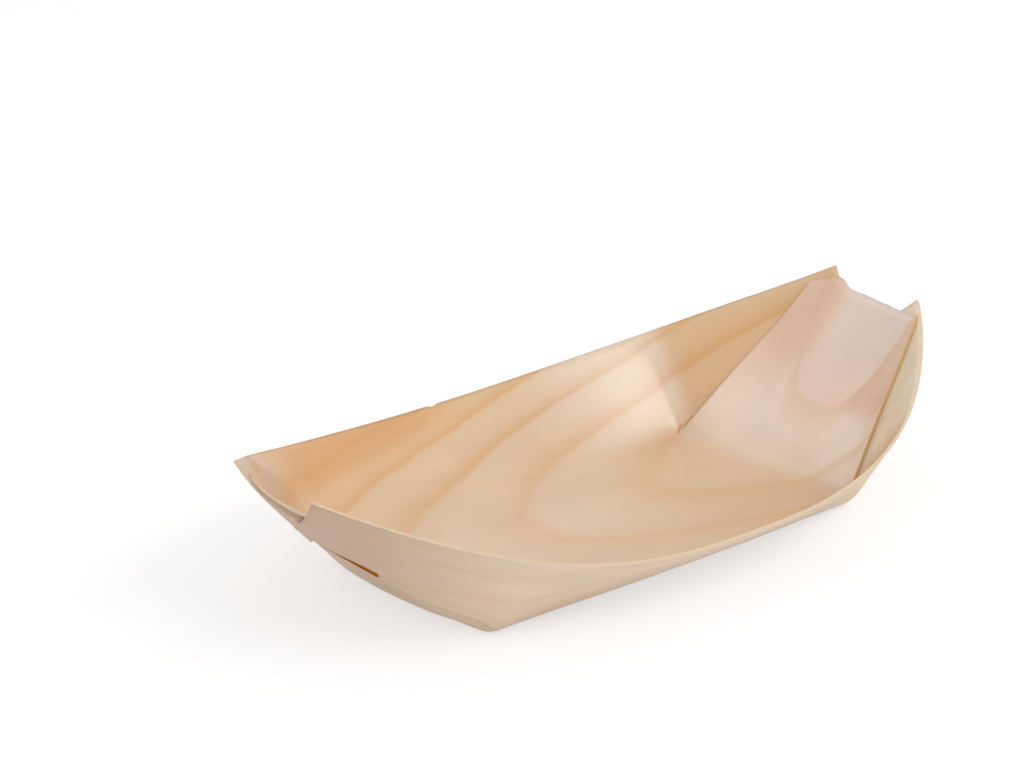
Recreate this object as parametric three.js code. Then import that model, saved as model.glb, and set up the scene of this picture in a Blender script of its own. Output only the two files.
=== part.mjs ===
// Wooden boat dish: one sheet of thin veneer, slit twice at each end and folded up into a boat.
// The middle tab of each end bends up as a ramp. The two side strips carry on from the long walls,
// wrap round the outside of the tab, cross each other there and are held by dabs of glue.
// Millimetres, +Z up, X along the boat, origin on the table under the middle of the floor.
import * as THREE from "three";

// Overall form of the folded dish
const LENGTH = 140; // tip to tip
const WIDTH = 79; // rim to rim across the middle
const SIDE_HEIGHT = 12.5; // rim above the table at mid length
const TIP_HEIGHT = 28.6; // strip tips above the table
const RAISED_TIP = 1.3; // how much higher the far right tip stands than the other three
const TIP_SPACING = 20.8; // between the two tips of one end
const RIM_SWEEP = 2.85; // power by which the rim runs in towards the tips
const RIM_RISE = 2.5; // power by which the rim climbs towards the tips
const RAISED_RISE = 6; // power by which it climbs the raised tip's extra height

// Floor, end tabs and strips
const FLOOR_LENGTH = 83.5; // between the inner ends of the slits
const FLOOR_WIDTH = 43.5; // between the two slits of one end, at the floor
const TAB_SPAN = 139; // from one tab's end to the other's
const TAB_HEIGHT = 27.5; // middle of a tab's end above the table
const TAB_END_WIDTH = 26.8; // between the two corners of a tab's end
const TAB_END_BOW = 2.5; // how far a tab's end stands out beyond its corners
const RAMP_FOOT = 46.5; // from the middle of the boat to where an end starts to rise
const RAMP_BOW = 4.5; // how much sooner it rises beside the slits than on the centre line
const STRIP_LAP = 3.5; // how far a strip's inner corner reaches past the centre line
const STRIP_BACK = 7; // how far that corner lies behind the strip's tip
const SWING_RUN = 11.5; // how far along the boat a strip's slit edge runs before it swings across
const SWING_SHIFT = 8.5; // how far towards the centre line it has come by then
const TIP_CUT = 7; // stretch in which the cut end leaves the tip
const TIP_CUT_SLANT = 0.27; // how far it runs back there, for each millimetre across
const CLOSED_SLIT = 3.5; // stretch of each slit, from its inner end, where the strip is beside the tab
const KERF = 0.25; // width of the slit there
const STACK_RUN = 10; // stretch of ramp in which the strips and the tab draw apart into layers
const LAP_EASE = 12; // stretch across the ramp, beside the lap of the strips, in which they draw level

// How gently the sheet turns up: widths of the bends, measured level
const SIDE_BEND = 9; // floor to wall, at mid length
const RAMP_BEND = 7; // floor to ramp, on the centre line
const CORNER_BEND = 4; // both, at a slit's inner end
const TIP_BEND = 9; // tab to strip, at the tips
const TIP_TURN = 4.4; // upturned margin of a strip at its tip

// Layers
const VENEER = 0.5;
const GLUE = 0.15;
const GLUE_CLEARANCE = 0.125; // on each side of a dab
const TAB_DAB_LENGTH = 8; // dab between tab and far strip: along the ramp
const TAB_DAB_WIDTH = 7; // across it
const TAB_DAB_ACROSS = 7.5; // its middle from the centre line
const LAP_DAB = 3.6; // round dab where the strips lap

// Facets
const BODY_STEPS = 16;
const TAB_STEPS = 13;
const STRIP_STEPS = 17;
const FLOOR_ROWS = 6; // from the centre line to a slit
const WALL_ROWS = 11; // from a slit to the rim
const DAB_RINGS = 3;
const DAB_SIDES = 18;
const SLIT_STEPS = 3; // along the closed part of a slit
const WALL_CROWD = 1.25; // powers that crowd the facets towards the bends
const FLOOR_CROWD = 1.6;
const TAB_CROWD = 1.3;
const PROBE = 0.01; // distance over which a slope is measured

// Values that follow from the sizes above
const tipX = LENGTH / 2;
const tipY = TIP_SPACING / 2;
const cornerX = FLOOR_LENGTH / 2;
const cornerY = FLOOR_WIDTH / 2;
const tabX = TAB_SPAN / 2;
const tabY = TAB_END_WIDTH / 2;
const layerPitch = VENEER + GLUE + 2 * GLUE_CLEARANCE;
const floorMid = VENEER / 2; // height of the sheet's middle surface on the floor
const tabLayers = 2; // the tab lies on two strips

// Slope of an end, such that the tab reaches its height while lying on the two strips
const rampRun = tabX - RAMP_FOOT;
const rampRise = TAB_HEIGHT - floorMid;
const stack = tabLayers * layerPitch;
const rampLine = Math.sqrt(rampRun ** 2 + rampRise ** 2 - stack ** 2);
const rampSlope = (rampRise * rampRun - stack * rampLine) / (rampRun ** 2 - stack ** 2);
const rampStretch = Math.hypot(1, rampSlope); // length on the ramp for each millimetre in plan

const lerp = THREE.MathUtils.lerp;
const smooth = (t) => THREE.MathUtils.smoothstep(t, 0, 1);

// Zero, then a parabola over the bend's width, then a straight line of slope 1
function bend(t, width) {
  if (t <= -width / 2) return 0;
  if (t >= width / 2) return t;
  return (t + width / 2) ** 2 / (2 * width);
}

// The rim in plan, at a distance x from the middle
const toTip = (x) => Math.min(1, Math.abs(x) / tipX);
const rimY = (x) => lerp(WIDTH / 2, tipY, toTip(x) ** RIM_SWEEP);

// The rim in height, on the side of the boat where y lies
function rimZ(x, y) {
  const raised = x > 0 && y > 0 ? RAISED_TIP * toTip(x) ** RAISED_RISE : 0;
  return lerp(SIDE_HEIGHT, TIP_HEIGHT, toTip(x) ** RIM_RISE) + raised;
}

// The line along which floor turns into wall, and past the slit's end tab into strip
const turnY = (x) => lerp(cornerY, tipY - TIP_TURN, Math.max(0, (x - cornerX) / (tipX - cornerX)));

// Width of the side bend: wide at mid length, tight at the slit's end, wider again at the tip
function sideBend(x) {
  if (x < cornerX) return lerp(SIDE_BEND, CORNER_BEND, (x / cornerX) ** 2);
  return lerp(CORNER_BEND, TIP_BEND, Math.min(1, (x - cornerX) / (tipX - cornerX)));
}

// The folded form as a height over the plan: floor and end ramps, with the walls turned up from them
function rampZ(x, y) {
  const aside = Math.min(1, y / cornerY) ** 2;
  const foot = RAMP_FOOT - RAMP_BOW * aside;
  return rampSlope * bend(x - foot, lerp(RAMP_BEND, CORNER_BEND, aside));
}

function height(px, py) {
  const x = Math.abs(px);
  const y = Math.abs(py);
  const wallRise = rimZ(px, py) - floorMid - rampZ(x, rimY(x));
  const wallSlope = wallRise / (rimY(x) - turnY(x));
  return floorMid + rampZ(x, y) + wallSlope * bend(y - turnY(x), sideBend(x));
}

// A point of the folded form, moved along its normal to the layer that the piece lies in
function place(x, y, layer) {
  const fallX = (height(x - PROBE, y) - height(x + PROBE, y)) / (2 * PROBE);
  const fallY = (height(x, y - PROBE) - height(x, y + PROBE)) / (2 * PROBE);
  const normal = new THREE.Vector3(fallX, fallY, 1).normalize();
  const point = new THREE.Vector3(x, y, height(x, y)).addScaledVector(normal, layer * layerPitch);
  return { point, normal };
}

// Closes a surface of welded grids into one solid of even thickness
function thicken(grids, thickness) {
  const numbers = new Map();
  const upper = [];
  const lower = [];
  const numberOf = ({ point, normal }) => {
    const key = point.toArray().map((c) => Math.round(c * 1000)).join();
    if (!numbers.has(key)) {
      numbers.set(key, upper.length);
      upper.push(point.clone().addScaledVector(normal, thickness / 2));
      lower.push(point.clone().addScaledVector(normal, -thickness / 2));
    }
    return numbers.get(key);
  };

  const faces = [];
  for (const { points, flip } of grids) {
    const grid = points.map((row) => row.map(numberOf));
    for (let i = 0; i + 1 < grid.length; i += 1) {
      for (let j = 0; j + 1 < grid[i].length; j += 1) {
        const ring = [grid[i][j], grid[i + 1][j], grid[i + 1][j + 1], grid[i][j + 1]];
        const corners = ring.filter((n, k) => n !== ring[(k + 1) % 4]);
        faces.push(flip ? corners.reverse() : corners);
      }
    }
  }

  const edges = new Map();
  for (const face of faces) {
    face.forEach((from, k) => {
      const to = face[(k + 1) % face.length];
      edges.set(`${from} ${to}`, [from, to]);
    });
  }
  const count = upper.length;
  const triangles = [];
  for (const face of faces) {
    for (let k = 1; k + 1 < face.length; k += 1) {
      triangles.push(face[0], face[k], face[k + 1]);
      triangles.push(count + face[0], count + face[k + 1], count + face[k]);
    }
  }
  for (const [from, to] of edges.values()) {
    if (edges.has(`${to} ${from}`)) continue;
    triangles.push(from, count + from, count + to);
    triangles.push(from, count + to, to);
  }

  const geometry = new THREE.BufferGeometry();
  geometry.setFromPoints([...upper, ...lower]);
  geometry.setIndex(triangles);
  geometry.computeVertexNormals();
  return geometry;
}

// Shares from 0 to 1, closer together near 0
const shares = (steps, power) => Array.from({ length: steps + 1 }, (_, k) => (k / steps) ** power);
const wallShares = shares(WALL_ROWS, WALL_CROWD);
const floorShares = shares(FLOOR_ROWS, 1).map((s) => 1 - (1 - s) ** FLOOR_CROWD);
const acrossShares = [...floorShares.slice(1).reverse().map((s) => -s), ...floorShares];

// Floor and both long walls, between the inner ends of the slits
function bodyGrid() {
  const points = [];
  for (let i = 0; i <= BODY_STEPS; i += 1) {
    const x = lerp(-cornerX, cornerX, i / BODY_STEPS);
    const edge = turnY(Math.abs(x));
    const rim = rimY(x);
    const rises = wallShares.slice(1).map((s) => lerp(edge, rim, s));
    const ys = [...rises.map((y) => -y).reverse(), ...acrossShares.map((s) => s * edge), ...rises];
    points.push(ys.map((y) => place(x, y, 0)));
  }
  return { points, flip: false };
}

// The layer that a piece of an end has reached, at a distance x from the middle of the boat.
// The near strip stays in the walls' layer, the far strip rises over it where they lap, and the tab
// parts from the strips at the slit and lies on them.
const upRamp = (x) => (x - cornerX) * rampStretch;
const stacked = (x) => smooth((upRamp(x) - CLOSED_SLIT) / STACK_RUN);
const atLap = (y) => smooth((STRIP_LAP + LAP_EASE - Math.abs(y)) / LAP_EASE);
const farLayer = (x, y) => stacked(x) * atLap(y);
const tabLayer = (x, y) => smooth(upRamp(x) / CLOSED_SLIT) + farLayer(x, y);

// The middle tab of one end
function tabGrid(end) {
  const points = shares(TAB_STEPS, TAB_CROWD).map((along) =>
    acrossShares.map((across) => {
      const endX = tabX - TAB_END_BOW * across ** 2;
      const x = lerp(cornerX, endX, along);
      const y = across * lerp(cornerY, tabY, along);
      return place(end * x, y, tabLayer(x, y));
    }),
  );
  return { points, flip: end < 0 };
}

// The outline of a strip in plan, for the end at +X and the side at +Y
function stripOutline() {
  const corner = new THREE.Vector2(cornerX, cornerY);
  const tip = new THREE.Vector2(tipX, tipY);
  const flat = (v) => new THREE.Vector2(v.x * rampStretch, v.y);
  const plan = (v) => new THREE.Vector2(v.x / rampStretch, v.y);

  // The cut end leaves the tip nearly square across the boat and runs back under the tab
  const inner = new THREE.Vector2(tipX - STRIP_BACK, -STRIP_LAP);
  const shoulder = new THREE.Vector2(-TIP_CUT_SLANT, -1).setLength(TIP_CUT).add(tip);
  const cutEnd = new THREE.QuadraticBezierCurve(inner, shoulder, tip);

  // Beside the tab the slit edge keeps the kerf, then it swings across under the tab
  const alongTab = new THREE.Vector2(tabX - TAB_END_BOW - cornerX, tabY - cornerY);
  const swing = new THREE.Vector2(SWING_RUN, -SWING_SHIFT).add(corner);
  const slit = flat(alongTab).normalize();
  const outward = new THREE.Vector2(-slit.y, slit.x).multiplyScalar(KERF);
  const parting = corner.clone().add(plan(slit.multiplyScalar(CLOSED_SLIT).add(outward)));
  const slitEdge = new THREE.QuadraticBezierCurve(parting, swing, inner);
  return { corner, tip, inner, parting, slitEdge, cutEnd };
}

// One strip, between the end of its slit and its tip; side +1 is the far side
function stripGrid(end, side) {
  const { corner, tip, inner, parting, slitEdge, cutEnd } = stripOutline();
  const slitAt = (k) =>
    k <= SLIT_STEPS
      ? corner.clone().lerp(parting, k / SLIT_STEPS)
      : slitEdge.getPoint((k - SLIT_STEPS) / (STRIP_STEPS - SLIT_STEPS));
  const closedShare = CLOSED_SLIT / (corner.distanceTo(inner) * rampStretch);
  const shareAt = (k) =>
    k <= SLIT_STEPS
      ? (closedShare * k) / SLIT_STEPS
      : lerp(closedShare, 1, (k - SLIT_STEPS) / (STRIP_STEPS - SLIT_STEPS));

  const points = [];
  for (let k = 0; k <= STRIP_STEPS; k += 1) {
    const along = shareAt(k);
    const slit = slitAt(k);
    const rimX = lerp(cornerX, tipX, along);
    const rim = new THREE.Vector2(rimX, rimY(rimX));
    points.push(
      wallShares.map((up) => {
        const start = new THREE.Vector2(cornerX, lerp(cornerY, rimY(cornerX), up));
        const finish = cutEnd.getPoint(up);
        const low = corner.clone().lerp(inner, along);
        const high = new THREE.Vector2(cornerX, rimY(cornerX)).lerp(tip, along);
        const spot = slit.clone().lerp(rim, up);
        spot.add(start.lerp(finish, along)).sub(low.lerp(high, up));
        return place(end * spot.x, side * spot.y, side > 0 ? farLayer(spot.x, spot.y) : 0);
      }),
    );
  }
  return { points, flip: end * side < 0 };
}

const veneer = new THREE.MeshStandardMaterial({ color: 0xdcbb93, roughness: 0.62, metalness: 0 });
const glue = new THREE.MeshStandardMaterial({ color: 0xe9dfc4, roughness: 0.35, metalness: 0 });

const dish = new THREE.Group();

function add(name, geometry, material) {
  const mesh = new THREE.Mesh(geometry, material);
  mesh.name = name;
  dish.add(mesh);
}

// The far strips lie next to the tab, and the near strips lie outside them
const sheet = [bodyGrid()];
for (const end of [-1, 1]) {
  sheet.push(tabGrid(end), stripGrid(end, 1), stripGrid(end, -1));
}
add("veneer_sheet", thicken(sheet, VENEER), veneer);

// A dab of glue between two layers, round a point of an end given in plan
function dabGrid(end, middle, length, width, layerAt) {
  const points = shares(DAB_RINGS, 1).map((ring) =>
    Array.from({ length: DAB_SIDES + 1 }, (_, k) => {
      const angle = ((k % DAB_SIDES) / DAB_SIDES) * 2 * Math.PI;
      const x = middle.x + (ring * length * Math.cos(angle)) / 2 / rampStretch;
      const y = middle.y + (ring * width * Math.sin(angle)) / 2;
      return place(end * x, y, layerAt(x, y));
    }),
  );
  return { points, flip: end < 0 };
}

// The inner dab is between the tab and the far strip; the outer one is where the two strips lap
const { inner: stripInner } = stripOutline();
const tabDab = new THREE.Vector2(stripInner.x, TAB_DAB_ACROSS);
const lapDab = new THREE.Vector2(stripInner.x, 0);
const underTab = (x, y) => (farLayer(x, y) + tabLayer(x, y)) / 2;
const betweenStrips = (x, y) => farLayer(x, y) / 2;
for (const [end, name] of [[-1, "left"], [1, "right"]]) {
  const inner = dabGrid(end, tabDab, TAB_DAB_LENGTH, TAB_DAB_WIDTH, underTab);
  const outer = dabGrid(end, lapDab, LAP_DAB, LAP_DAB, betweenStrips);
  add(`glue_dab_${name}_inner`, thicken([inner], GLUE), glue);
  add(`glue_dab_${name}_outer`, thicken([outer], GLUE), glue);
}

export default dish;
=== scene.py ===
import math

import bpy
import numpy as np
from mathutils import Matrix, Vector


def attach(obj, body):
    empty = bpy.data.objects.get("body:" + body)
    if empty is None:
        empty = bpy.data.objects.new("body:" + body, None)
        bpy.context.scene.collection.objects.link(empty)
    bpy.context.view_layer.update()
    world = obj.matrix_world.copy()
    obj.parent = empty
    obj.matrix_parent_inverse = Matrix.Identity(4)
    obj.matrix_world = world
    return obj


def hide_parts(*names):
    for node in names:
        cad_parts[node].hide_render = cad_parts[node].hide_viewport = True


bl_info = {
    "name": "Veneer Boat Dish",
    "version": (1, 0, 0),
    "blender": (4, 5, 0),
    "location": "View3D > Sidebar > Boat Dish",
    "description": "Dresses the packed boat dish as one folded sheet of pine veneer with its glue",
    "category": "Add Mesh",
}

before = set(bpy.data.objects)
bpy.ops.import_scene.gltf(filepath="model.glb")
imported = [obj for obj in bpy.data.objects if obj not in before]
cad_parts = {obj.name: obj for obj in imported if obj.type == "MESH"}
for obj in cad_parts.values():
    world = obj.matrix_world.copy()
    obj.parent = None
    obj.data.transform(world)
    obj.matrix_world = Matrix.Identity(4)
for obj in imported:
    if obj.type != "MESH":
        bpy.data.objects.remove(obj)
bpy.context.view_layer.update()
MM = 0.001
SHEET = "veneer_sheet"
DABS = ("glue_dab_left_inner", "glue_dab_left_outer", "glue_dab_right_inner", "glue_dab_right_outer")


def linear(code):
    """An sRGB hex colour as linear red, green and blue."""
    parts = [int(code[i:i + 2], 16) / 255 for i in (0, 2, 4)]
    return tuple(p / 12.92 if p <= 0.04045 else ((p + 0.055) / 1.055) ** 2.4 for p in parts)


def size(name, text, default):
    return bpy.props.FloatProperty(name=name, description=text, default=default * MM, min=0.0, unit="LENGTH",
                                   subtype="DISTANCE", precision=5)


def colour(name, text, code):
    return bpy.props.FloatVectorProperty(name=name, description=text, default=linear(code), size=3, min=0.0, max=1.0,
                                         subtype="COLOR")


class DishSizes(bpy.types.PropertyGroup):
    """The folded sheet's sizes, as in the CAD part."""
    length: size("Length", "From tip to tip along the dish", 140)
    width: size("Width", "Across the two long rims at mid length", 79)
    side_height: size("Side height", "Height of the long rims at mid length", 12.5)
    tip_height: size("Tip height", "Height of the strip tips", 28.6)
    raised_tip: size("Raised tip", "How much higher the far right tip stands", 1.2)
    sunk_tip: size("Sunk tip", "How much lower the near left tip stands", 0.7)
    tip_spacing: size("Tip spacing", "Between the two tips of one end", 20.8)
    floor_length: size("Floor length", "Between the creases at the slit ends", 83.5)
    floor_width: size("Floor width", "Between the slit ends of one end", 43.5)
    tab_span: size("Tab span", "Between the two tab ends", 139)
    tab_height: size("Tab height", "Height of the tab ends", 27.5)
    tab_end_width: size("Tab end width", "Width of a tab at its end", 26.8)
    veneer: size("Veneer", "Thickness of the sheet", 0.5)
    layer_pitch: size("Layer pitch", "From one layer of veneer to the next where they are glued", 0.53)
    stack: size("Stack", "How far the tab stands inside the line of the walls where the layers lie on each other", 1.8)


class VeneerLook(bpy.types.PropertyGroup):
    """The wood's colours and figure."""
    early_wood: colour("Early wood", "Pale wood between the growth rings", "dabd9d")
    amber_wood: colour("Amber wood", "Warmer wood of the outer rings", "e0b37e")
    gold_wood: colour("Gold wood", "Golden wood along the left of the far rim", "d8a066")
    late_wood: colour("Late wood", "Orange lines of the growth rings", "d4994f")
    tab_wood: colour("Tab wood", "Pale pink wood of the tab", "f3ddcc")
    heart_wood: colour("Heart wood", "Pink wood inside the innermost ring", "efd1c3")
    heart_end: colour("Heart end", "The same wood at the end of the tab", "e6d0c4")
    # Painted light: this colour is a painted highlight on the far wall and painted light on the near ramp foot, not
    # paler wood.
    painted_light_wood: colour("Pale wood", "Palest wood, on the right strips and the far wall", "f6e7d6")
    rosy_wood: colour("Rosy wood", "Wood beside the heart patch", "ddb79d")
    # Painted light: the near right strip's inner face is made paler to make up for the light its shaded side lacks.
    strip_fill_wood: colour("Strip wood", "Straw wood of the near right strip", "e9d7bb")
    left_wood: colour("Left wood", "Deeper wood of the left end", "bb9166")
    # Painted shade: the floor is made darker towards the near wall, where shade falls.
    floor_shade_wood: colour("Dull wood", "Duller wood of the near half of the floor", "d0ad88")
    outer_wood: colour("Outer wood", "Outer face of the sheet", "ebd2b8")
    # Painted shade: the outer face is made darker and greyer towards its left end, which lies in shade.
    left_shade_wood: colour("Grey wood", "Duller left end of the outer face", "ceb099")
    cut_edge: colour("Cut edge", "Sheared edge along the rims", "dcc4a6")
    end_grain: colour("End grain", "Sheared edge across the grain", "d8b27a")
    # Partly painted shade: this colour darkens the opened slit's gap and the splits for the shade inside them, over raw
    # torn wood.
    slit: colour("Slit", "Raw wood in the opened slit and the splits", "a8601a")
    glue: colour("Glue", "Dried wood glue", "e9dfc4")
    ring_width: size("Ring width", "From one growth ring to the next, as far from the pith", 2.6)
    fibre_width: size("Fibre width", "Width of one visible fibre line", 0.35)


class StageLook(bpy.types.PropertyGroup):
    """Floor, light and camera."""
    floor: colour("Floor", "Plain pale floor", "f2f2f2")
    key_power: bpy.props.FloatProperty(name="Key power", description="Power of the soft key light", default=2.2,
                                       min=0.0, unit="POWER")
    sky: bpy.props.FloatProperty(name="Sky", description="Strength of the even light from all round", default=0.8,
                                 min=0.0)
    lens: bpy.props.FloatProperty(name="Lens", description="Focal length of the camera in millimetres", default=140.6,
                                  min=1.0)


# Powers of the rims' curves, seen from above, from the side, and at the raised and the sunk tip.
RIM_SWEEP, RIM_RISE, RAISED_RISE = 2.85, 2.5, 6
# The ramps, in millimetres like all the lengths here: where they start, how far that line bows, the left one's sag.
TAB_END_BOW, RAMP_FOOT, RAMP_BOW, FAR_LEFT_BOW, LEFT_SAG = 2.5, 46.5, 4.5, 6.2, 2.0
# The strips: how far they lap, how they swing in from the slit, and the slit's first, nearly closed run.
STRIP_LAP, SWING_RUN, SWING_SHIFT, CLOSED_SLIT, KERF = 3.5, 11.5, 8.5, 3.5, 0.05
# The cut end of each strip, by end and side: how far its inner corner lies behind the tip and past the middle, and its
# cut's length and slant.
PLAIN_END = (7, 3.5, 7, 0.27)
STRIP_ENDS = {(-1, 1): (5.5, 4.5, 5, 0.45), (-1, -1): PLAIN_END, (1, 1): PLAIN_END, (1, -1): PLAIN_END}
# How many layer pitches each strip lies outside the tab. The near left strip stands off a little.
LAYERS = {(-1, 1): 1, (-1, -1): 2.9, (1, 1): 1, (1, -1): 2}
STACK_RUN, LAP_EASE, LEAST_GAP = 10, 12, 0.02
# Widths of the round bends, and how far inside the tip the last one lies.
SIDE_BEND, RAMP_BEND, CORNER_BEND, TIP_BEND, TIP_TURN = 9, 7, 4, 9, 4.4
# The outlines of the tabs' ends: places across them, and how far they reach past the nominal end.
LEFT_END = (-1, -0.6, -0.2, 0.1, 0.5, 0.7, 0.8, 1), (-5, -3.6, -1.6, -0.3, 0, -0.7, -2.1, -4.6)
RIGHT_END = (-1, -0.62, -0.35, 0, 0.19, 0.43, 0.63, 0.8, 1), (-2.2, -0.7, 0.15, 0.5, 0.6, 0.2, 0.5, -1.0, -2.9)
# The nick in the far rim, and the power by which it fades down the wall.
CHIP_X, CHIP_WIDTH, CHIP_DEPTH, CHIP_FADE = -3.3, 0.7, 0.35, 8
# Steps of the grids, and the powers that crowd their rows towards the bends.
BODY_STEPS, TAB_STEPS, STRIP_STEPS, SLIT_STEPS, FLOOR_ROWS, WALL_ROWS = 120, 30, 40, 5, 12, 20
FLOOR_CROWD, WALL_CROWD, TAB_CROWD = 1.6, 1.25, 1.3
PROBE = 0.01
# The glue: place along the dish, share of the gap that it fills, grid steps, thinning towards its border and that
# border's waves, and each dab's place across, length, width and number of the layer that it lies on.
DAB_X, DAB_FILL, DAB_RINGS, DAB_SIDES, DAB_THINNING, DAB_WAVES = 63, 0.94, 5, 32, 0.75, ((3, 0.06), (5, 0.04))
DAB_PLACES = {"inner": (7.5, 8.0, 7.0, 0), "outer": (0.0, 3.6, 3.6, 1)}
# Where the slits start on the flat sheet, along and across, and how much narrower the tab gets along its length.
SLIT_U, SLIT_V, TAB_TAPER = 41.75, 21.75, 0.22
# One ring line's strength, from its sharp start to the next.
RING_LINE = (0.0, 1.0), (0.07, 0.75), (0.28, 0.25), (0.55, 0.05), (0.88, 0.12), (1.0, 1.0)
# The stage, in metres and degrees: the paper's half size, its place under the dish, its own glow and grey; the key
# light's size, turn, tilt, distance and aim; the camera's turn, tilt, distance, shift and sensor.
PAPER_HALF, PAPER_DROP, PAPER_GLOW, PAPER_GREY = 4, 0.00005, 0.62, 0.42
KEY_LONG, KEY_DEEP, KEY_TURN, KEY_TILT, KEY_REACH, KEY_AIM = 0.6, 0.3, -70, 46, 0.9, (0.01, 0.005, 0.01)
EYE_TURN, EYE_TILT, EYE_REACH, EYE_RIGHT, EYE_UP, SENSOR = -41.2, 21.183, 0.69694, -0.014002, 0.0255, 36.0


def lerp(a, b, t):
    return a + (b - a) * t


def smooth(t):
    t = np.clip(t, 0, 1)
    return t * t * (3 - 2 * t)


def bend(t, w):
    """A straight slope that starts in a round bend of width w."""
    return np.where(t <= -w / 2, 0, np.where(t >= w / 2, t, (t + w / 2) ** 2 / (2 * w)))


def spot_on(a, b, c, t):
    """A point at t on the bow from a to c that b pulls on."""
    return (1 - t) ** 2 * a + 2 * t * (1 - t) * b + t * t * c


def floor_rows():
    """Places across the floor or a tab, from -1 to 1, closest at the sides."""
    fall = 1 - (1 - np.linspace(0, 1, FLOOR_ROWS + 1)) ** FLOOR_CROWD
    return np.concatenate([-fall[:0:-1], fall])[None]


def run_of(p, axis):
    """Lengths along a grid's lines from their first point, as on the flat sheet."""
    return np.insert(np.cumsum(np.linalg.norm(np.diff(p, axis=axis), axis=-1), axis), 0, 0, axis)


class FoldedSheet:
    """The sheet's form in millimetres: a smooth height over the plan, and the layers at the laps."""

    def __init__(self, s):
        k = 1 / MM
        self.tip_x, self.tip_y = s.length * k / 2, s.tip_spacing * k / 2
        self.corner_x, self.corner_y = s.floor_length * k / 2, s.floor_width * k / 2
        self.tab_x, self.tab_y = s.tab_span * k / 2, s.tab_end_width * k / 2
        self.half_width, self.side, self.tip_z = s.width * k / 2, s.side_height * k, s.tip_height * k
        self.raised, self.sunk, self.mid = s.raised_tip * k, s.sunk_tip * k, s.veneer * k / 2
        self.pitch, self.stack = s.layer_pitch * k, s.stack * k
        self.edge = self.pitch + LEAST_GAP
        run, rise, stack = self.tab_x - RAMP_FOOT, s.tab_height * k - self.mid, self.stack
        line = math.sqrt(run ** 2 + rise ** 2 - stack ** 2)
        self.slope = (rise * run - stack * line) / (run ** 2 - stack ** 2)
        self.stretch = math.hypot(1, self.slope)

    def to_tip(self, x):
        return np.abs(x) / self.tip_x

    def rim_y(self, x):
        return lerp(self.half_width, self.tip_y, self.to_tip(x) ** RIM_SWEEP)

    def rim_z(self, x, y):
        lift = np.where((x > 0) & (y > 0), self.raised, np.where((x < 0) & (y < 0), -self.sunk, 0))
        return lerp(self.side, self.tip_z, self.to_tip(x) ** RIM_RISE) + lift * self.to_tip(x) ** RAISED_RISE

    def ramp(self, px, py, y):
        """Height of the ramp at y, in the quarter of the dish that the point px, py is in."""
        aside = np.minimum(1, y / self.corner_y) ** 2
        foot = RAMP_FOOT - np.where((px < 0) & (py > 0), FAR_LEFT_BOW, RAMP_BOW) * aside
        climb = np.maximum(0, (np.abs(px) - RAMP_FOOT) / (self.tip_x - RAMP_FOOT))
        sag = np.where(px < 0, LEFT_SAG, 0) * (1 - aside) * climb ** 2
        return self.slope * bend(np.abs(px) - foot, lerp(RAMP_BEND, CORNER_BEND, aside)) - sag

    def height(self, px, py):
        x, y = np.abs(px), np.abs(py)
        past = (x - self.corner_x) / (self.tip_x - self.corner_x)
        turn = lerp(self.corner_y, self.tip_y - TIP_TURN, np.maximum(0, past))
        width = np.where(x < self.corner_x, lerp(SIDE_BEND, CORNER_BEND, (x / self.corner_x) ** 2),
                         lerp(CORNER_BEND, TIP_BEND, np.clip(past, 0, 1)))
        rim = self.rim_y(x)
        rise = self.rim_z(px, py) - self.mid - self.ramp(px, py, rim)
        return self.mid + self.ramp(px, py, y) + rise / (rim - turn) * bend(y - turn, width)

    def place(self, x, y, inward):
        """Points of the sheet's middle, moved inward off the plain form, and the normals there."""
        e = PROBE
        n = np.stack([(self.height(x - e, y) - self.height(x + e, y)) / (2 * e),
                      (self.height(x, y - e) - self.height(x, y + e)) / (2 * e), np.ones_like(x)], -1)
        n /= np.linalg.norm(n, axis=-1, keepdims=True)
        return np.stack([x, y, self.height(x, y)], -1) + n * inward[..., None], n

    def up_ramp(self, x):
        return (x - self.corner_x) * self.stretch

    def lap(self, x, y):
        """How fully the layers lie on each other here, 0 to 1."""
        over = smooth((STRIP_LAP + LAP_EASE - np.abs(y)) / LAP_EASE)
        return smooth((self.up_ramp(x) - CLOSED_SLIT) / STACK_RUN) * over

    def strip_inward(self, end, side, lap):
        """How far inside the line of the walls a strip lies."""
        return (self.stack - self.pitch * LAYERS[end, side]) * lap

    def body(self):
        """The floor and the two long walls between the slits: points, normals and places on the flat sheet."""
        wall = np.linspace(0, 1, WALL_ROWS + 1)[1:] ** WALL_CROWD
        x = np.linspace(-self.corner_x, self.corner_x, BODY_STEPS + 1)[:, None]
        floor = floor_rows() * self.corner_y + 0 * x
        rise = lerp(self.corner_y, self.rim_y(x), wall[None])
        chip = CHIP_DEPTH * np.exp(-((x - CHIP_X) / CHIP_WIDTH) ** 2) * wall[None] ** CHIP_FADE
        y = np.concatenate([-rise[:, ::-1], floor, rise - chip], 1)
        x = x + 0 * y
        p, n = self.place(x, y, 0 * x)
        mid, v = y.shape[1] // 2, run_of(p, 1)
        return p, n, np.stack([x, v - v[:, mid:mid + 1]], -1)

    def tab(self, end):
        """One end's ramp, the same way."""
        across = floor_rows()
        along = (np.linspace(0, 1, TAB_STEPS + 1) ** TAB_CROWD)[:, None]
        last = self.tab_x + np.interp(across, *(RIGHT_END if end > 0 else LEFT_END))
        x = lerp(self.corner_x, last, along)
        y = across * lerp(self.corner_y, self.tab_y, along)
        inward = self.edge * smooth(self.up_ramp(x) / CLOSED_SLIT) + (self.stack - self.edge) * self.lap(x, y)
        p, n = self.place(end * x, y, inward)
        return p, n, np.stack([end * (self.corner_x + run_of(p, 0)), y], -1)

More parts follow.
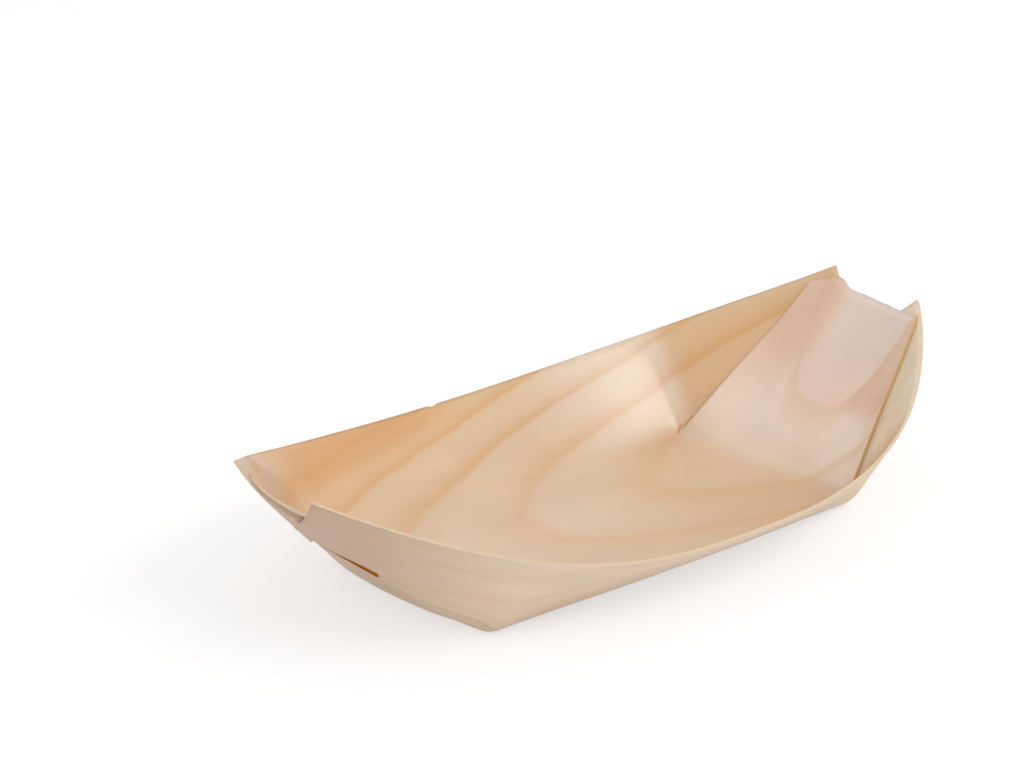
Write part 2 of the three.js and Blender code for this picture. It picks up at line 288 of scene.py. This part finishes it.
    def strip(self, end, side):
        """One strip, the same way: a patch filled in between its slit, its rim, its crease and its cut end."""
        up = (np.linspace(0, 1, WALL_ROWS + 1) ** WALL_CROWD)[None, :, None]
        corner, tip = np.array([self.corner_x, self.corner_y]), np.array([self.tip_x, self.tip_y])
        behind, past, reach, slant = STRIP_ENDS[end, side]
        inner, cut = np.array([self.tip_x - behind, -past]), np.array([-slant, -1.0])
        shoulder = tip + cut / np.linalg.norm(cut) * reach
        slit = np.array([(self.tab_x - TAB_END_BOW - self.corner_x) * self.stretch, self.tab_y - self.corner_y])
        slit /= np.linalg.norm(slit)
        part = slit * CLOSED_SLIT + np.array([-slit[1], slit[0]]) * KERF
        part = corner + part / np.array([self.stretch, 1])
        swing = corner + np.array([SWING_RUN, -SWING_SHIFT])
        closed = CLOSED_SLIT / (np.linalg.norm(inner - corner) * self.stretch)
        early = np.linspace(0, 1, SLIT_STEPS + 1)[:, None]
        late = np.linspace(0, 1, STRIP_STEPS - SLIT_STEPS + 1)[1:, None]
        low = np.concatenate([lerp(corner, part, early), spot_on(part, swing, inner, late)])[:, None]
        along = np.concatenate([closed * early, lerp(closed, 1, late)])
        rim_x = lerp(self.corner_x, self.tip_x, along)
        high = np.concatenate([rim_x, self.rim_y(rim_x)], 1)[:, None]
        top = np.array([self.corner_x, self.rim_y(self.corner_x)])
        start, finish = lerp(corner, top, up), spot_on(inner, shoulder, tip, up)
        along = along[:, None]
        plain = lerp(lerp(corner, inner, along), lerp(top, tip, along), up)
        spot = lerp(low, high, up) + lerp(start, finish, along) - plain
        x, y = spot[..., 0], spot[..., 1]
        p, n = self.place(end * x, side * y, self.strip_inward(end, side, self.lap(x, y)))
        v = run_of(p, 1)
        v += self.corner_y + v[:1, -1:] - v[:, -1:]
        return p, n, np.stack([end * (self.corner_x + run_of(p, 0)), side * v], -1)

    def grids(self):
        """Every grid of the sheet, wound so that its front is the inner face."""
        made = [(self.body(), True)]
        for end in (-1, 1):
            made.append((self.tab(end), end > 0))
            made += [(self.strip(end, side), end * side > 0) for side in (1, -1)]
        return made


def build_sheet(form):
    """One closed mesh of the whole sheet: inner face, outer face and cut edges, with the flat blank's coordinates."""
    ids, points, normals, blanks, quads = {}, [], [], [], []
    for (p, n, flat), straight in form.grids():
        rows, cols = p.shape[:2]
        number = np.empty((rows, cols), int)
        for i in range(rows):
            for j in range(cols):
                key = tuple(np.round(p[i, j], 3))
                if key not in ids:
                    ids[key] = len(points)
                    points.append(p[i, j])
                    normals.append(n[i, j])
                    blanks.append(flat[i, j])
                number[i, j] = ids[key]
        for i in range(rows - 1):
            for j in range(cols - 1):
                ring = [number[i, j], number[i + 1, j], number[i + 1, j + 1], number[i, j + 1]]
                ring = list(dict.fromkeys(ring if straight else ring[::-1]))
                if len(ring) > 2:
                    quads.append(ring)
    points, normals, blanks = np.array(points), np.array(normals), np.array(blanks)
    count, used = len(points), {}
    for ring in quads:
        for a, b in zip(ring, ring[1:] + ring[:1]):
            used[a, b] = used.get((a, b), 0) + 1
    border = [pair for pair in used if pair[::-1] not in used]
    faces = [tuple(r) for r in quads] + [tuple(i + count for i in r[::-1]) for r in quads]
    faces += [(b, a, a + count, b + count) for a, b in border]
    kinds = [0] * len(quads) + [1] * len(quads) + [2] * len(border)
    half = normals * form.mid
    verts = np.concatenate([points + half, points - half]) * MM
    mesh = bpy.data.meshes.new(SHEET + "_wood")
    mesh.from_pydata(verts.tolist(), [], faces)
    mesh.update()
    mesh.polygons.foreach_set("material_index", kinds)
    mesh.polygons.foreach_set("use_smooth", [k < 2 for k in kinds])
    flat = np.zeros((2 * count, 3), np.float32)
    flat[:count, :2] = flat[count:, :2] = blanks
    mesh.attributes.new("blank", "FLOAT_VECTOR", "POINT").data.foreach_set("vector", flat.ravel())
    if mesh.validate():
        raise RuntimeError("the folded sheet has bad faces")
    return mesh


def add(tree, kind, settings=None, **links):
    """Adds a node, sets its settings, and links or sets its inputs by name, with _ for a space."""
    node = tree.nodes.new("ShaderNode" + kind)
    for key, value in (settings or {}).items():
        setattr(node, key, value)
    for key, value in links.items():
        spot = int(key[1:]) if key[0] == "i" and key[1:].isdigit() else key.replace("_", " ")
        socket = node.inputs[spot]
        if isinstance(value, bpy.types.NodeSocket):
            tree.links.new(value, socket)
        else:
            socket.default_value = value
    return node


def ramp_stops(node, stops):
    """Gives a colour ramp its stops."""
    marks = node.color_ramp.elements
    while len(marks) < len(stops):
        marks.new(0.5)
    for mark, (place, shade) in zip(marks, stops):
        mark.position, mark.color = place, (*shade, 1)


def new_material(name):
    """An empty material with a Principled shader, and its tree."""
    made = bpy.data.materials.new(name)
    made.use_nodes = True
    return made, made.node_tree, made.node_tree.nodes["Principled BSDF"]


def math_of(tree, operation, a, b=0.0, c=0.0):
    """The result of one sum, which may be a number from another node."""
    return add(tree, "Math", {"operation": operation}, i0=a, i1=b, i2=c).outputs[0]


def times(tree, first, *others):
    """The product of several values."""
    for other in others:
        first = math_of(tree, "MULTIPLY", first, other)
    return first


def plus(tree, value, share, start):
    """A share of value, on top of start."""
    return math_of(tree, "MULTIPLY_ADD", value, share, start)


def without(tree, share):
    """What share leaves of the whole."""
    return math_of(tree, "SUBTRACT", 1.0, share)


def rise(tree, value, low, high, first=0.0, last=1.0):
    """Goes smoothly from first to last while value goes from low to high."""
    return add(tree, "MapRange", {"interpolation_type": "SMOOTHSTEP"}, i0=value, i1=low, i2=high, i3=first,
               i4=last).outputs[0]


def span(tree, value, start, full, fade, end):
    """1 from full to fade, and smoothly 0 before start and past end."""
    return times(tree, rise(tree, value, start, full), rise(tree, value, end, fade))


def blend(tree, share, first, second, way="MIX"):
    """Mixes two colours."""
    shades = [s if isinstance(s, bpy.types.NodeSocket) else (*s, 1) for s in (first, second)]
    return add(tree, "Mix", {"data_type": "RGBA", "blend_type": way}, i0=share, i6=shades[0], i7=shades[1]).outputs[2]


def greyed(tree, wood, grey):
    """A colour made darker by a grey."""
    return blend(tree, 1.0, wood, add(tree, "CombineColor", i0=grey, i1=grey, i2=grey).outputs[0], "MULTIPLY")


# In the wood, u runs along the flat sheet and v across it, in millimetres from the middle of the floor. Right and far
# are plus. Bare numbers are places on the flat sheet, or shares from 0 to 1.

def wood_noises(tree, flat, fibre):
    """Noises drawn out along the grain, by name: length along the grain, width across it, and detail."""
    noises = {}
    for key, along, aside, detail in (("wander", 30.0, 18.0, 2.0), ("torn", 3.0, 0.7, 3.0), ("mottle", 14.0, 9.0, 3.0),
                                      ("fibre", 30.0, fibre, 3.0), ("streak", 60.0, 1.6, 2.0)):
        spread = add(tree, "Mapping", Vector=flat, Scale=(1 / along, 1 / aside, 1))
        noises[key] = add(tree, "TexNoise", {"noise_dimensions": "2D"}, Vector=spread.outputs[0], Scale=1.0,
                          Detail=detail).outputs[0]
    return noises


def ring_age(tree, u, v, inside, noises, ring):
    """How many rings old the wood is, counted from the heart.

    The log tapers towards the right, so its rings are cut as arches that open to the right: the distance from the pith
    falls along the sheet and grows to both sides of the arches' axis."""
    taper = math_of(tree, "SMOOTH_MAX", times(tree, u, -22.26), times(tree, u, -6.55), 2500.0)
    axis = plus(tree, times(tree, rise(tree, u, 42.0, 62.0), inside), -6.8, 5.9)
    aside = math_of(tree, "SUBTRACT", v, axis)
    square = math_of(tree, "ADD", plus(tree, aside, aside, 6400.0), taper)
    pith = math_of(tree, "SQRT", math_of(tree, "MAXIMUM", square, 1.0))
    drift = plus(tree, noises["wander"], 0.8, times(tree, noises["torn"], 0.22))
    return math_of(tree, "DIVIDE", math_of(tree, "ADD", math_of(tree, "ADD", pith, drift), -78.7), ring)


def heart_patch(tree, u, v, inside, torn):
    """The innermost ring, a blunt tongue on the right tab with torn fibres along its border, and the stain round it."""
    tongue = math_of(tree, "POWER", math_of(tree, "ABSOLUTE", math_of(tree, "ADD", v, 1.2)), 3.46)
    depth = math_of(tree, "ADD", plus(tree, tongue, -0.0045, u), plus(tree, torn, 2.4, -59.0))
    on_end = times(tree, rise(tree, u, 48.0, 54.0), inside)
    faint = times(tree, rise(tree, v, 3.0, 8.0, 0.0, 0.8), rise(tree, u, 63.0, 71.0))
    heart = times(tree, rise(tree, depth, -0.35, 0.35), on_end, without(tree, faint))
    halo = times(tree, rise(tree, depth, -9.0, -0.4), math_of(tree, "SUBTRACT", on_end, heart))
    return heart, halo


def inner_wood(tree, look, u, v, inside, age, noises):
    """The inner face's colour between the ring lines, and how strongly those show."""
    heart, halo = heart_patch(tree, u, v, inside, noises["torn"])
    heart_wood = blend(tree, rise(tree, u, 60.0, 70.0), look.heart_wood, look.heart_end)
    on_tab = times(tree, rise(tree, u, 38.0, 51.0), inside)
    outer_rings = times(tree, rise(tree, age, 3.2, 5.0), rise(tree, v, 18.0, 33.0))
    corner = times(tree, rise(tree, u, 43.5, 49.0), rise(tree, v, 22.0, 26.0), rise(tree, v, 40.5, 38.0, 0.35, 1.0))
    amber = math_of(tree, "MAXIMUM", outer_rings, times(tree, corner, 0.85))
    far_rim = times(tree, rise(tree, plus(tree, u, -0.2, v), 38.0, 42.5, 0.0, 0.9), rise(tree, u, 8.0, -12.0))
    # Painted shade: the floor darkens towards the near wall.
    near_floor_shade = times(tree, rise(tree, v, 6.0, -14.0, 0.0, 0.8), without(tree, times(tree, on_tab, 0.8)))
    far_flush = times(tree, rise(tree, v, 3.0, 11.0, 0.0, 0.85), rise(tree, u, 50.0, 70.0))
    near_flush = times(tree, rise(tree, v, -6.0, -9.5, 0.0, 0.8), rise(tree, u, 56.0, 61.0), without(tree, heart))
    flush = times(tree, math_of(tree, "MAXIMUM", far_flush, near_flush), inside)
    # Painted light: the near part of the ramp foot is lightened to cancel the shade that falls on it there.
    ramp_foot_fill = times(tree, rise(tree, v, -3.0, -16.0, 0.0, 0.6), span(tree, u, 42.0, 48.0, 53.0, 59.0), inside)
    # Painted highlight: the far wall towards the right corner is lightened where the key light's reflection falls.
    far_wall_highlight = times(tree, span(tree, u, 10.0, 34.0, 42.5, 47.0), rise(tree, v, 20.0, 26.0, 0.0, 0.5))
    # Painted light: the near right strip's inner face, which lies in shade, is made paler.
    near_strip_fill = times(tree, rise(tree, v, -20.5, -24.0), rise(tree, u, 43.0, 50.0))
    base = look.early_wood
    for share, shade in ((times(tree, amber, 0.7), look.amber_wood), (far_rim, look.gold_wood), (on_tab, look.tab_wood),
                         (heart, heart_wood), (times(tree, halo, 0.3), look.late_wood), (near_floor_shade, look.floor_shade_wood),
                         (flush, look.rosy_wood), (math_of(tree, "MAXIMUM", ramp_foot_fill, far_wall_highlight), look.painted_light_wood),
                         (near_strip_fill, look.strip_fill_wood), (rise(tree, u, -44.0, -62.0, 0.0, 0.9), look.left_wood)):
        base = blend(tree, share, base, shade)
    # Painted highlight and painted light: the ring lines fade where the far wall's highlight and the near strip's
    # painted light lie.
    pale = plus(tree, math_of(tree, "MAXIMUM", far_wall_highlight, near_strip_fill), -0.8, 1.0)
    return base, times(tree, rise(tree, v, 14.0, 32.0, 0.36, 0.62), rise(tree, age, 0.3, 0.6), pale)


def outer_wood(tree, look, u, mottle):
    """The same for the outer face, which is plainer."""
    # Painted shade: the outer face goes darker and greyer towards its left end.
    return blend(tree, rise(tree, u, -76.0, -40.0), look.left_shade_wood, look.outer_wood), times(tree, mottle, 0.26)


def slit_split(tree, far, wide):
    """The short split that runs on from each slit a little way into the floor."""
    off = plus(tree, math_of(tree, "ADD", far, -40.5), 0.52, plus(tree, wide, -0.854, 18.36))
    return times(tree, rise(tree, math_of(tree, "ABSOLUTE", off), 0.34, 0.1), span(tree, far, 40.2, 40.9, 41.9, 42.5))


def slit_shade_wedge(tree, u, v):
    """The painted shade in the wedge where the near left slit has opened."""
    height = times(tree, rise(tree, u, -74.0, -65.5, 0.3, 3.6), rise(tree, u, -62.6, -64.0, 0.02, 1.0))
    inlet = math_of(tree, "DIVIDE", math_of(tree, "SUBTRACT", -21.7, v), height)
    return span(tree, inlet, -0.02, 0.1, 0.7, 1.1)


def veneer_material(name, look, outer):
    # Rotary-cut pine veneer, peeled wet and pressed: wide orange arches of late wood over pale early wood, a pink heart
    # where the knife left the innermost ring, fine straight fibres along the length, and a smooth satin surface.
    made, tree, shader = new_material(name)
    flat = add(tree, "Attribute", {"attribute_name": "blank"}).outputs["Vector"]
    u, v = add(tree, "SeparateXYZ", i0=flat).outputs[:2]
    far, wide = math_of(tree, "ABSOLUTE", u), math_of(tree, "ABSOLUTE", v)
    inside = rise(tree, wide, 21.9, 21.6)
    noises = wood_noises(tree, flat, look.fibre_width / MM)
    age = ring_age(tree, u, v, inside, noises, look.ring_width / MM)
    bands = add(tree, "ValToRGB", i0=math_of(tree, "FRACT", age))
    ramp_stops(bands, [(place, (grey,) * 3) for place, grey in RING_LINE])
    if outer:
        base, strength = outer_wood(tree, look, u, noises["mottle"])
        streak, light, coat, matt = 0.1, 0.88, 0.1, (0.5, 0.6)
    else:
        base, strength = inner_wood(tree, look, u, v, inside, age, noises)
        streak, light, coat, matt = 0.04, 0.91, 0.5, (0.3, 0.4)
    wood = blend(tree, times(tree, bands.outputs[0], strength), base, look.late_wood)
    lines = plus(tree, noises["fibre"], 0.05, times(tree, noises["streak"], streak))
    wood = greyed(tree, wood, math_of(tree, "ADD", plus(tree, noises["mottle"], 0.09, lines), light))
    # The knife left a thin golden line along the sides of the tabs.
    from_side = plus(tree, math_of(tree, "ADD", far, -SLIT_U), TAB_TAPER, math_of(tree, "ADD", wide, -SLIT_V))
    line = times(tree, span(tree, from_side, -0.45, -0.15, 0.2, 0.5), rise(tree, far, 43.0, 46.0))
    wood = blend(tree, times(tree, line, 0.3), wood, look.end_grain)
    shader.inputs["Coat Weight"].default_value = coat
    if outer:
        # Painted shade: the opened slit is painted dark and without sheen, for the shadow in the gap over the raw torn
        # wood.
        gap = slit_shade_wedge(tree, u, v)
        wood = blend(tree, gap, wood, look.slit)
        tree.links.new(plus(tree, gap, -0.5, 0.5), shader.inputs["Specular IOR Level"])
        tree.links.new(plus(tree, gap, -coat, coat), shader.inputs["Coat Weight"])
    else:
        # The splits are painted as dark lines in the slit colour: raw torn wood with painted shade inside them.
        wood = blend(tree, times(tree, slit_split(tree, far, wide), 0.6), wood, look.slit)
    tree.links.new(wood, shader.inputs["Base Color"])
    tree.links.new(rise(tree, noises["fibre"], 0.3, 0.7, *matt), shader.inputs["Roughness"])
    bump = add(tree, "Bump", Strength=0.06, Distance=0.0002, Height=noises["fibre"])
    tree.links.new(bump.outputs[0], shader.inputs["Normal"])
    shader.inputs["IOR"].default_value = 1.5
    shader.inputs["Coat Roughness"].default_value = 0.28
    return made


def edge_material(look):
    # Sheared veneer edge: short broken fibres, pale along the rims where the knife slid with the grain, and golden at
    # the slits and ends, where the end grain shows.
    made, tree, shader = new_material("sheared_veneer_edge")
    flat = add(tree, "Attribute", {"attribute_name": "blank"}).outputs["Vector"]
    u, v = add(tree, "SeparateXYZ", i0=flat).outputs[:2]
    crumbs = add(tree, "TexNoise", {"noise_dimensions": "2D"}, Vector=flat, Scale=1 / 0.5, Detail=3.0).outputs[0]
    rim = math_of(tree, "MAXIMUM", rise(tree, math_of(tree, "ABSOLUTE", v), 30.0, 37.0), rise(tree, u, -70.0, -74.0))
    wood = blend(tree, rim, look.end_grain, look.cut_edge)
    tree.links.new(greyed(tree, wood, plus(tree, crumbs, 0.16, 0.9)), shader.inputs["Base Color"])
    shader.inputs["Roughness"].default_value = 0.7
    return made


def glue_material(look):
    # Dried wood glue: a pale amber film, slightly milky, smooth and a little glossy.
    made, tree, shader = new_material("dried_wood_glue")
    spot = add(tree, "TexCoord").outputs["Object"]
    milk = add(tree, "TexNoise", Vector=spot, Scale=1 / 0.0012, Detail=2.0)
    shade = add(tree, "ValToRGB", i0=milk.outputs[0])
    glue = Vector(look.glue)
    ramp_stops(shade, [(0.35, tuple(glue * 0.86)), (0.65, tuple(glue))])
    tree.links.new(shade.outputs[0], shader.inputs["Base Color"])
    shader.inputs["Roughness"].default_value = 0.3
    return made


def build_dab(form, end, aside, length, width, between):
    """A thin lens of glue between two layers. between is 0 inside the far strip, 1 outside it."""
    ring = np.linspace(0, 1, DAB_RINGS + 1)[1:, None]
    turn = np.linspace(0, 2 * math.pi, DAB_SIDES, endpoint=False)[None]
    (swells, swell), (ripples, ripple) = DAB_WAVES
    wave = 1 + swell * np.sin(swells * turn + end) + ripple * np.sin(ripples * turn + between)
    x = DAB_X + ring * np.cos(turn) * wave * length / 2
    y = aside + ring * np.sin(turn) * wave * width / 2
    x, y = np.append(x.ravel(), DAB_X), np.append(y.ravel(), aside)
    lap = form.lap(x, y)
    layers = [form.edge + (form.stack - form.edge) * lap, *(form.strip_inward(end, side, lap) for side in (1, -1))]
    gap = np.maximum(layers[between] - layers[between + 1] - 2 * form.mid, LEAST_GAP)
    depth = np.append(np.repeat(1 - DAB_THINNING * ring[:, 0] ** 2, DAB_SIDES), 1.0) * gap / 2 * DAB_FILL
    p, n = form.place(end * x, y, (layers[between] + layers[between + 1]) / 2)
    count = len(p)
    verts = np.concatenate([p + n * depth[:, None], p - n * depth[:, None]]) * MM
    faces, rim, last = [], [], (DAB_RINGS - 1) * DAB_SIDES
    for k in range(DAB_SIDES):
        m = (k + 1) % DAB_SIDES
        faces.append((count - 1, k, m))
        faces += [(r * DAB_SIDES + k, (r + 1) * DAB_SIDES + k, (r + 1) * DAB_SIDES + m, r * DAB_SIDES + m)
                  for r in range(DAB_RINGS - 1)]
        rim.append((last + k, last + k + count, last + m + count, last + m))
    faces = faces + [tuple(i + count for i in f[::-1]) for f in faces] + rim
    if end < 0:
        faces = [f[::-1] for f in faces]
    mesh = bpy.data.meshes.new("glue_film")
    mesh.from_pydata(verts.tolist(), [], faces)
    mesh.polygons.foreach_set("use_smooth", [True] * len(faces))
    if mesh.validate():
        raise RuntimeError("a glue dab has bad faces")
    return mesh


def seen_ray(tree):
    """1 for what the camera sees, straight, mirrored or through something clear."""
    rays = add(tree, "LightPath").outputs
    return math_of(tree, "MAXIMUM", rays["Is Camera Ray"],
                   math_of(tree, "MAXIMUM", rays["Is Glossy Ray"], rays["Is Transmission Ray"]))


def paper_material(look):
    # Matt white paper: it takes the dish's shadow, and the camera sees it close to white.
    made, tree, shader = new_material("white_paper")
    shader.inputs["Base Color"].default_value = (*look.floor, 1)
    shader.inputs["Roughness"].default_value = 0.9
    shader.inputs["Specular IOR Level"].default_value = 0.0
    glow = add(tree, "Emission", Strength=PAPER_GLOW)
    plain = add(tree, "BsdfDiffuse", Color=(PAPER_GREY, PAPER_GREY, PAPER_GREY, 1))
    both = add(tree, "AddShader", i0=plain.outputs[0], i1=glow.outputs[0])
    mix = add(tree, "MixShader", i0=seen_ray(tree), i1=shader.outputs[0], i2=both.outputs[0])
    tree.links.new(mix.outputs[0], tree.nodes["Material Output"].inputs["Surface"])
    return made


def light_world(scene, look):
    """Even light from all round, behind which the camera sees white."""
    scene.world = scene.world or bpy.data.worlds.new("studio")
    scene.world.use_nodes = True
    tree = scene.world.node_tree
    tree.nodes.clear()
    even = add(tree, "Background", Color=(1, 1, 1, 1), Strength=look.sky)
    white = add(tree, "Background", Color=(1, 1, 1, 1), Strength=1.0)
    mix = add(tree, "MixShader", i0=seen_ray(tree), i1=even.outputs[0], i2=white.outputs[0])
    add(tree, "OutputWorld", Surface=mix.outputs[0])


def key_light(look):
    """One wide soft light from the near side."""
    lamp = bpy.data.lights.new("key", "AREA")
    lamp.shape, lamp.size, lamp.size_y, lamp.energy = "RECTANGLE", KEY_LONG, KEY_DEEP, look.key_power
    key = bpy.data.objects.new("key", lamp)
    turn, tilt = math.radians(KEY_TURN), math.radians(KEY_TILT)
    way = Vector((math.cos(tilt) * math.cos(turn), math.cos(tilt) * math.sin(turn), math.sin(tilt)))
    key.location = Vector(KEY_AIM) + way * KEY_REACH
    key.rotation_euler = way.to_track_quat("Z", "Y").to_euler()
    return key


def photo_camera(look):
    """The camera that was fitted to the photo."""
    turn, tilt = math.radians(EYE_TURN), math.radians(EYE_TILT)
    back = Vector((math.sin(turn) * math.cos(tilt), -math.cos(turn) * math.cos(tilt), math.sin(tilt)))
    right = Vector((math.cos(turn), math.sin(turn), 0))
    eye = bpy.data.cameras.new("camera")
    eye.lens, eye.sensor_width, eye.sensor_fit, eye.clip_start, eye.clip_end = look.lens, SENSOR, "HORIZONTAL", 0.01, 50
    camera = bpy.data.objects.new("camera", eye)
    camera.location = right * EYE_RIGHT + back.cross(right) * EYE_UP + back * EYE_REACH
    camera.rotation_euler = back.to_track_quat("Z", "Y").to_euler()
    return camera


class DISH_OT_veneer_sheet(bpy.types.Operator):
    """Builds the folded veneer sheet in place of its CAD solid"""
    bl_idname = "dish.veneer_sheet"
    bl_label = "Veneer Sheet"

    def execute(self, context):
        scene = context.scene
        mesh = build_sheet(FoldedSheet(scene.dish_sizes))
        look = scene.dish_veneer
        mesh.materials.append(veneer_material("rotary_cut_pine_inner_face", look, False))
        mesh.materials.append(veneer_material("rotary_cut_pine_outer_face", look, True))
        mesh.materials.append(edge_material(look))
        sheet = bpy.data.objects.new("folded_" + SHEET, mesh)
        scene.collection.objects.link(sheet)
        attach(sheet, "root")
        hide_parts(SHEET)
        return {"FINISHED"}


class DISH_OT_glue_dabs(bpy.types.Operator):
    """Lays the four thin films of glue between the layers"""
    bl_idname = "dish.glue_dabs"
    bl_label = "Glue Dabs"

    def execute(self, context):
        form = FoldedSheet(context.scene.dish_sizes)
        finish = glue_material(context.scene.dish_veneer)
        for name in DABS:
            end = -1 if "left" in name else 1
            mesh = build_dab(form, end, *DAB_PLACES[name.split("_")[-1]])
            mesh.materials.append(finish)
            dab = bpy.data.objects.new(name.replace("dab", "film"), mesh)
            context.scene.collection.objects.link(dab)
            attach(dab, "root")
            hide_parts(name)
        return {"FINISHED"}


class DISH_OT_stage(bpy.types.Operator):
    """Lays the floor and sets the light and the camera"""
    bl_idname = "dish.stage"
    bl_label = "Stage"

    def execute(self, context):
        scene, look = context.scene, context.scene.dish_stage
        mesh = bpy.data.meshes.new("floor")
        mesh.from_pydata([(x * PAPER_HALF, y * PAPER_HALF, 0) for x, y in ((-1, -1), (1, -1), (1, 1), (-1, 1))], [],
                         [(0, 1, 2, 3)])
        mesh.materials.append(paper_material(look))
        floor = bpy.data.objects.new("floor", mesh)
        floor.location.z = -PAPER_DROP
        scene.collection.objects.link(floor)
        light_world(scene, look)
        scene.collection.objects.link(key_light(look))
        camera = photo_camera(look)
        scene.collection.objects.link(camera)
        scene.camera = camera
        scene.view_settings.view_transform = "Standard"
        return {"FINISHED"}


class DISH_PT_panel(bpy.types.Panel):
    """Sizes, colours and steps of the boat dish"""
    bl_idname = "DISH_PT_panel"
    bl_label = "Boat Dish"
    bl_space_type = "VIEW_3D"
    bl_region_type = "UI"
    bl_category = "Boat Dish"

    def draw(self, context):
        for group in (context.scene.dish_sizes, context.scene.dish_veneer, context.scene.dish_stage):
            box = self.layout.box()
            for name in group.__annotations__:
                box.prop(group, name)
        for step in STEPS:
            self.layout.operator(step.bl_idname)


STEPS = (DISH_OT_veneer_sheet, DISH_OT_glue_dabs, DISH_OT_stage)
CLASSES = (DishSizes, VeneerLook, StageLook, *STEPS, DISH_PT_panel)


def register():
    for cls in CLASSES:
        bpy.utils.register_class(cls)
    bpy.types.Scene.dish_sizes = bpy.props.PointerProperty(type=DishSizes)
    bpy.types.Scene.dish_veneer = bpy.props.PointerProperty(type=VeneerLook)
    bpy.types.Scene.dish_stage = bpy.props.PointerProperty(type=StageLook)


def unregister():
    del bpy.types.Scene.dish_sizes, bpy.types.Scene.dish_veneer, bpy.types.Scene.dish_stage
    for cls in reversed(CLASSES):
        bpy.utils.unregister_class(cls)


def main():
    register()
    bpy.ops.dish.veneer_sheet()
    bpy.ops.dish.glue_dabs()
    bpy.ops.dish.stage()


if __name__ == "__main__":
    main()
